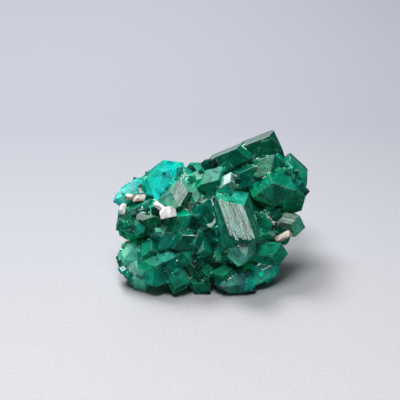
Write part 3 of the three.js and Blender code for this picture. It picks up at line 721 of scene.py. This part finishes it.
dioptase = {
    "ior": 1.66,
    "specular": 0.3,
    "roughness": 0.1,
    "transmission": 0.5,  # and the other half comes back from clouds in the depth
    "throughColour": "#00F4EA",  # what light turns to on its way through
    "density": 1800,  # per metre
    # Growth lines are some 0.05 mm apart on the stone, and drawn 0.2 mm apart to show.
    "lineScale": 4.5,  # per mm
    "lineStretch": 14,  # length of a line against its width
    "lineFrom": 0.38,  # noise at the bottom of a groove
    "lineTo": 0.62,  # noise at the top of a line
    "paintedGrooveShade": 0.75,  # painted shade: share of the light taken from the colour between two lines
    "filmAndSheen": "#DCF0EA",  # etched skin, and painted sheen on faces that catch the light
    "filmAndSheenPlain": 0.6,  # share of it where no growth lines part it
    "filmAndSheenRoughness": 0.35,
    "cloudScale": 0.7,  # per mm, for clouds about 1.5 mm across
    "cloudFrom": 0.3,  # noise where the depth is darkest
    "cloudTo": 0.7,
    "cloudShade": (0.32, 1.6),  # against the body colour, from the darkest to the brightest
    "hueScale": 0.35,  # per mm, for warmer green patches about 3 mm across
    "hueFrom": 0.42,
    "hueTo": 0.6,
    "greener": (1, 1, 0.78),  # against the body colour
    "veil": "#8CE0C8",  # healed crack
    "veilScale": 0.55,  # per mm, for cracks about 2 mm apart
    "veilWidth": 0.03,  # against their spacing
    "veilMost": 0.75,  # share of the colour that they take
    "veilFrom": 0.5,  # noise of the clouds where they start to show
    "veilTo": 0.6,
    "bendScale": 0.8,  # bends in them per mm
    # Specks of calcite dust are under 0.05 mm on the stone, and drawn 0.1 mm wide to show.
    "speck": "#D5E4DC",
    "speckScale": 6,  # places for one per mm
    "speckShare": 0.03,  # of the places that have one
    "speckFrom": 0.15,  # of a place's width, where a speck starts to fade
    "speckTo": 0.35,
    "speckMost": 0.8,  # share of the colour that it takes
    "speckRoughness": 0.4,
    "hillScale": 0.5,  # hills of uneven growth per mm
    "hillShare": 0.5,  # of the relief, against the growth lines
    "relief": 0.03,  # mm
}


# Dioptase, as grown: glassy faces with fine growth lines along the crystal, which break their shine
# into streaks. A pale film, partly an etched skin and partly painted sheen, dulls some of them,
# clouds and healed cracks in the depth make the green uneven, painted shade darkens the grooves
# between the growth lines, and specks of calcite dust stick to all.
def dioptaseMaterial():
    material, tree = newMaterial("dioptase, natural crystal faces")
    place = add(tree, "TexCoord").outputs["Object"]
    inMm = add(tree, "VectorMath", {0: place, 3: 1 / mm}, operation="SCALE").outputs[0]
    body = add(tree, "Attribute", attribute_name="body").outputs["Color"]
    surface = add(tree, "Attribute", attribute_name="surface").outputs["Vector"]
    filmSheenAndStriae = add(tree, "SeparateXYZ", {0: surface})
    filmAndSheen, striae = filmSheenAndStriae.outputs[0], filmSheenAndStriae.outputs[1]
    axis = add(tree, "Attribute", attribute_name="cAxis").outputs["Vector"]

    # growth lines run along the c axis
    along = add(tree, "VectorMath", {0: inMm, 1: axis}, operation="DOT_PRODUCT").outputs["Value"]
    squeeze = add(tree, "Math", {0: along, 1: 1 - 1 / dioptase["lineStretch"]},
                  operation="MULTIPLY").outputs[0]
    back = add(tree, "VectorMath", {0: axis, 3: squeeze}, operation="SCALE").outputs[0]
    lined = add(tree, "VectorMath", {0: inMm, 1: back}, operation="SUBTRACT").outputs[0]
    lines = add(tree, "TexNoise", {"Vector": lined, "Scale": dioptase["lineScale"], "Detail": 3,
                                   "Roughness": 0.6}).outputs["Fac"]
    bands = add(tree, "MapRange", {0: lines, 1: dioptase["lineFrom"], 2: dioptase["lineTo"]}).outputs[0]

    # clouds in the depth, and patches of a warmer green
    clouds = add(tree, "TexNoise", {"Vector": inMm, "Scale": dioptase["cloudScale"], "Detail": 5,
                                    "Roughness": 0.68, "Distortion": 0.6}).outputs["Fac"]
    darkest, brightest = dioptase["cloudShade"]
    depth = add(tree, "MapRange", {0: clouds, 1: dioptase["cloudFrom"], 2: dioptase["cloudTo"],
                                   3: darkest, 4: brightest}).outputs[0]
    drift = add(tree, "TexNoise", {"Vector": inMm, "Scale": dioptase["hueScale"],
                                   "Detail": 2}).outputs["Fac"]
    toGreen = add(tree, "MapRange", {0: drift, 1: dioptase["hueFrom"], 2: dioptase["hueTo"]}).outputs[0]
    greener = add(tree, "VectorMath", {0: body, 1: dioptase["greener"]},
                  operation="MULTIPLY").outputs[0]
    mixed = add(tree, "Mix", {0: toGreen, 6: body, 7: greener}, data_type="RGBA").outputs[2]
    deep = add(tree, "VectorMath", {0: mixed, 3: depth}, operation="SCALE").outputs[0]

    # healed cracks, which show where the clouds are bright
    bend = add(tree, "TexNoise", {"Vector": inMm, "Scale": dioptase["bendScale"],
                                  "Detail": 2}).outputs["Color"]
    bent = add(tree, "VectorMath", {0: inMm, 1: bend}, operation="ADD").outputs[0]
    crack = add(tree, "TexVoronoi", {"Vector": bent, "Scale": dioptase["veilScale"]},
                feature="DISTANCE_TO_EDGE").outputs["Distance"]
    thin = add(tree, "MapRange", {0: crack, 1: 0, 2: dioptase["veilWidth"],
                                  3: dioptase["veilMost"], 4: 0}).outputs[0]
    bright = add(tree, "MapRange", {0: clouds, 1: dioptase["veilFrom"],
                                    2: dioptase["veilTo"]}).outputs[0]
    veil = add(tree, "Math", {0: thin, 1: bright}, operation="MULTIPLY").outputs[0]
    veiled = add(tree, "Mix", {0: veil, 6: deep, 7: linear(dioptase["veil"]) + [1]},
                 data_type="RGBA").outputs[2]

    # the film and painted sheen lie on the growth lines, and painted shade darkens the grooves between
    # them
    filmAndSheenBands = add(tree, "Mix", {0: striae, 2: dioptase["filmAndSheenPlain"], 3: bands},
                    data_type="FLOAT").outputs[0]
    # the pale film, partly an etched skin and partly painted sheen
    filmAndSheenShare = add(tree, "Math", {0: filmAndSheen, 1: filmAndSheenBands}, operation="MULTIPLY").outputs[0]
    withFilmAndSheen = add(tree, "Mix", {0: filmAndSheenShare, 6: veiled, 7: linear(dioptase["filmAndSheen"]) + [1]},
                 data_type="RGBA").outputs[2]
    # painted shade in the grooves between the growth lines
    loss = add(tree, "MapRange", {0: bands, 3: dioptase["paintedGrooveShade"], 4: 0}).outputs[0]
    paintedGrooveShade = add(tree, "Math", {0: loss, 1: striae}, operation="MULTIPLY").outputs[0]
    lit = add(tree, "Math", {0: 1, 1: paintedGrooveShade}, operation="SUBTRACT").outputs[0]
    withGrooveShade = add(tree, "VectorMath", {0: withFilmAndSheen, 3: lit}, operation="SCALE").outputs[0]

    # specks of dust
    cells = add(tree, "TexVoronoi", {"Vector": inMm, "Scale": dioptase["speckScale"]})
    pick = add(tree, "SeparateXYZ", {0: cells.outputs["Color"]}).outputs[0]
    picked = add(tree, "Math", {0: pick, 1: 1 - dioptase["speckShare"]},
                 operation="GREATER_THAN").outputs[0]
    near = add(tree, "MapRange", {0: cells.outputs["Distance"], 1: dioptase["speckFrom"],
                                  2: dioptase["speckTo"], 3: dioptase["speckMost"], 4: 0}).outputs[0]
    speck = add(tree, "Math", {0: picked, 1: near}, operation="MULTIPLY").outputs[0]
    colour = add(tree, "Mix", {0: speck, 6: withGrooveShade, 7: linear(dioptase["speck"]) + [1]},
                 data_type="RGBA").outputs[2]

    # roughness and relief
    filmAndSheenRough = add(tree, "Math", {0: filmAndSheenShare, 1: dioptase["filmAndSheenRoughness"],
                                   2: dioptase["roughness"]}, operation="MULTIPLY_ADD").outputs[0]
    rough = add(tree, "Math", {0: speck, 1: dioptase["speckRoughness"], 2: filmAndSheenRough},
                operation="MULTIPLY_ADD").outputs[0]
    hills = add(tree, "TexNoise", {"Vector": inMm, "Scale": dioptase["hillScale"],
                                   "Detail": 1}).outputs["Fac"]
    lineHeight = add(tree, "Math", {0: lines, 1: striae}, operation="MULTIPLY").outputs[0]
    height = add(tree, "Math", {0: hills, 1: dioptase["hillShare"], 2: lineHeight},
                 operation="MULTIPLY_ADD").outputs[0]
    relief = add(tree, "Bump", {"Height": height, "Distance": dioptase["relief"] * mm,
                                "Strength": 1.0}).outputs[0]
    shader = add(tree, "BsdfPrincipled", {
        "Base Color": colour, "Roughness": rough, "Normal": relief,
        "IOR": dioptase["ior"], "Specular IOR Level": dioptase["specular"],
        "Transmission Weight": dioptase["transmission"]})
    volume = add(tree, "VolumeAbsorption", {
        "Color": linear(dioptase["throughColour"]) + [1], "Density": dioptase["density"]})
    add(tree, "OutputMaterial", {"Surface": shader.outputs[0], "Volume": volume.outputs[0]})
    return material


calcite = {
    "ior": 1.6,
    "roughness": 0.4,
    "white": "#FFFFFD",
    "stained": "#9C8E78",
    "stainScale": 0.9,  # per mm, for stains about 1 mm across
    "clean": (0.5, 0.8),  # noise from where a stain starts to where it is full, on a clean break
    "rusty": (0.25, 0.6),  # the same where iron has stained it
    # The steps of its cleavage are some 0.05 mm wide, and drawn 0.3 mm wide to show.
    "cleavageScale": 3.5,  # per mm
    "cleavageTurn": (0.5, 0.6, 0.3),  # radians
    "cleavageStretch": (1, 0.2, 4),
    "relief": 0.03,  # mm
}


# Calcite, broken: dull to pearly white with brownish stains and the fine steps of its cleavage.
def calciteMaterial(name, stain):
    material, tree = newMaterial(name)
    place = add(tree, "TexCoord").outputs["Object"]
    inMm = add(tree, "VectorMath", {0: place, 3: 1 / mm}, operation="SCALE").outputs[0]
    stains = add(tree, "TexNoise", {"Vector": inMm, "Scale": calcite["stainScale"],
                                    "Detail": 5}).outputs["Fac"]
    stained = add(tree, "MapRange", {0: stains, 1: stain[0], 2: stain[1]}).outputs[0]
    colour = add(tree, "Mix", {0: stained, 6: linear(calcite["white"]) + [1],
                               7: linear(calcite["stained"]) + [1]}, data_type="RGBA").outputs[2]
    slanted = add(tree, "Mapping", {"Vector": inMm, "Rotation": calcite["cleavageTurn"],
                                    "Scale": calcite["cleavageStretch"]}).outputs[0]
    steps = add(tree, "TexNoise", {"Vector": slanted, "Scale": calcite["cleavageScale"],
                                   "Detail": 3}).outputs["Fac"]
    relief = add(tree, "Bump", {"Height": steps, "Distance": calcite["relief"] * mm}).outputs[0]
    shader = add(tree, "BsdfPrincipled", {"Base Color": colour, "Roughness": calcite["roughness"],
                                          "IOR": calcite["ior"], "Normal": relief})
    add(tree, "OutputMaterial", {"Surface": shader.outputs[0]})
    return material


# The finished pieces

# The crystals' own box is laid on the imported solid's, and their table on the frame's.
low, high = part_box("crystal_cluster")
ownLow = [min(vert.co[k] for vert in cluster.verts) for k in range(3)]
ownHigh = [max(vert.co[k] for vert in cluster.verts) for k in range(3)]
toFrame = Vector(((low.x + high.x) / 2 / mm - (ownLow[0] + ownHigh[0]) / 2,
                  (low.y + high.y) / 2 / mm - (ownLow[1] + ownHigh[1]) / 2,
                  camera["tableUnderMiddle"]))
toMetres = Matrix.Scale(mm, 4) @ Matrix.Translation(toFrame)


def finishPiece(name, bm, material, slot, *nodes):
    bmesh.ops.transform(bm, matrix=toMetres, verts=bm.verts)
    piece = asObject(name, bm)
    piece.data.materials.append(material)
    bpy.context.scene.collection.objects.link(piece)
    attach(piece, "root")
    if nodes:
        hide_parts(*nodes)


finishPiece("dioptase_crystals", cluster, dioptaseMaterial(), "dioptase", "crystal_cluster")
white = calciteMaterial("calcite, clean break", calcite["clean"])
rusty = calciteMaterial("calcite, iron stained", calcite["rusty"])
for index, scrap in enumerate(scraps["pieces"]):
    form = scrapForm(scrap, index, 0)
    material = rusty if scrap.get("stained") else white
    finishPiece(scrap["name"] + "_broken", form, material, "calcite", scrap["name"])
# painted highlights in part: the white crumbs also stand in for the sparkle in the seams
finishPiece("calcite_dust_and_sparkle", loose, white, "calcite")
print("pieces dressed")

# Stage, light and camera

stage = {
    "floorSide": 3,  # metres
    "floorNear": "#BAB9BB",
    "floorFar": "#92949C",
    "nearEnd": -60,  # mm from the origin, where the painted shade starts to darken the card toward the back
    "farEnd": 45,
    "grain": 2,  # per mm: the card's is some 0.1 mm, and drawn 0.5 mm wide to show
    "grainShade": (0.95, 1.03),
    "roughness": 0.6,
    "room": "#C9CEDA",
    "roomStrength": 0.06,
}
# Soft boxes, in degrees and mm: azimuth runs from the front to the right. The diffuse ones light the
# specimen and the card: the key behind it to the left, the fill overhead. The glossy ones are seen
# in the crystals alone: the glint in the ribbed faces, the sheen and the horizon in the upper faces.
lights = [
    {"name": "key", "azimuth": -148, "elevation": 60, "distance": 280, "side": 100, "radiance": 31,
     "colour": "#FFFFFF", "use": "diffuse"},
    {"name": "fill", "azimuth": -45, "elevation": 83, "distance": 260, "side": 110, "radiance": 17,
     "colour": "#FFFFFF", "use": "diffuse"},
    {"name": "glint", "azimuth": 24, "elevation": 60, "distance": 300, "side": 70, "radiance": 10,
     "colour": "#FFFFFF", "use": "glossy"},
    {"name": "sheen", "azimuth": -165, "elevation": 48, "distance": 300, "side": 280, "radiance": 1.6,
     "colour": "#F2F6FF", "use": "glossy"},
    {"name": "horizon", "azimuth": 180, "elevation": 10, "distance": 300, "side": 180, "radiance": 1.0,
     "colour": "#F2F6FF", "use": "glossy"},
]


# Matt card with a fine grain, and painted shade that darkens it a little toward the back.
def floorMaterial():
    material, tree = newMaterial("matt card")
    place = add(tree, "TexCoord").outputs["Object"]
    grain = add(tree, "TexNoise", {"Vector": place, "Scale": stage["grain"] / mm,
                                   "Detail": 3}).outputs["Fac"]
    darkest, brightest = stage["grainShade"]
    shade = add(tree, "MapRange", {0: grain, 1: 0.3, 2: 0.7, 3: darkest, 4: brightest}).outputs[0]
    depth = add(tree, "SeparateXYZ", {0: place}).outputs[1]
    away = add(tree, "MapRange", {0: depth, 1: stage["nearEnd"] * mm,
                                  2: stage["farEnd"] * mm}).outputs[0]
    # painted shade: the card's colour darkens toward the back
    graded = add(tree, "Mix", {0: away, 6: linear(stage["floorNear"]) + [1],
                               7: linear(stage["floorFar"]) + [1]}, data_type="RGBA").outputs[2]
    colour = add(tree, "VectorMath", {0: graded, 3: shade}, operation="SCALE").outputs[0]
    shader = add(tree, "BsdfPrincipled", {"Base Color": colour, "Roughness": stage["roughness"]})
    add(tree, "OutputMaterial", {"Surface": shader.outputs[0]})
    return material


floorForm = bmesh.new()
bmesh.ops.create_grid(floorForm, x_segments=1, y_segments=1, size=stage["floorSide"] / 2)
floor = asObject("floor", floorForm)
floor.data.materials.append(floorMaterial())
bpy.context.scene.collection.objects.link(floor)
floor.visible_glossy = False  # in the crystals' faces the bright card would drown their green


# Places a light or a camera, and turns it to look at the target.
def aim(thing, at, target):
    thing.location = at
    thing.rotation_euler = (at - target).to_track_quat("Z", "Y").to_euler()


viewMiddle = toFrame * mm
for light in lights:
    data = bpy.data.lights.new(light["name"], "AREA")
    data.shape = "SQUARE"
    data.size = light["side"] * mm
    data.energy = light["radiance"] * math.pi * data.size ** 2
    data.color = linear(light["colour"])
    lamp = bpy.data.objects.new(light["name"], data)
    lamp.visible_camera = False
    lamp.visible_glossy = light["use"] == "glossy"
    lamp.visible_diffuse = light["use"] == "diffuse"
    bpy.context.scene.collection.objects.link(lamp)
    azimuth, elevation = math.radians(light["azimuth"]), math.radians(light["elevation"])
    way = Vector((math.sin(azimuth) * math.cos(elevation), -math.cos(azimuth) * math.cos(elevation),
                  math.sin(elevation)))
    aim(lamp, viewMiddle + way * light["distance"] * mm, viewMiddle)

room = bpy.data.worlds.new("room")
room.use_nodes = True
background = room.node_tree.nodes["Background"]
background.inputs["Color"].default_value = linear(stage["room"]) + [1]
background.inputs["Strength"].default_value = stage["roomStrength"]
bpy.context.scene.world = room
bpy.context.scene.view_settings.view_transform = "Standard"

lens = bpy.data.cameras.new("camera")
lens.lens = camera["lens"]
lens.sensor_width = camera["sensor"]
lens.clip_start = mm
viewer = bpy.data.objects.new("camera", lens)
bpy.context.scene.collection.objects.link(viewer)
# the target is off the middle of the view by as much as the photograph's framing is
mmPerPixel = camera["distance"] * camera["sensor"] / camera["lens"] / camera["photoSide"]
half = camera["photoSide"] / 2
across, down = camera["middleAt"]
aside = seen(((half - across) * mmPerPixel, (down - half) * mmPerPixel, 0))
target = viewMiddle + aside * mm
aim(viewer, target + towardViewer * camera["distance"] * mm, target)
bpy.context.scene.camera = viewer
print("stage set")
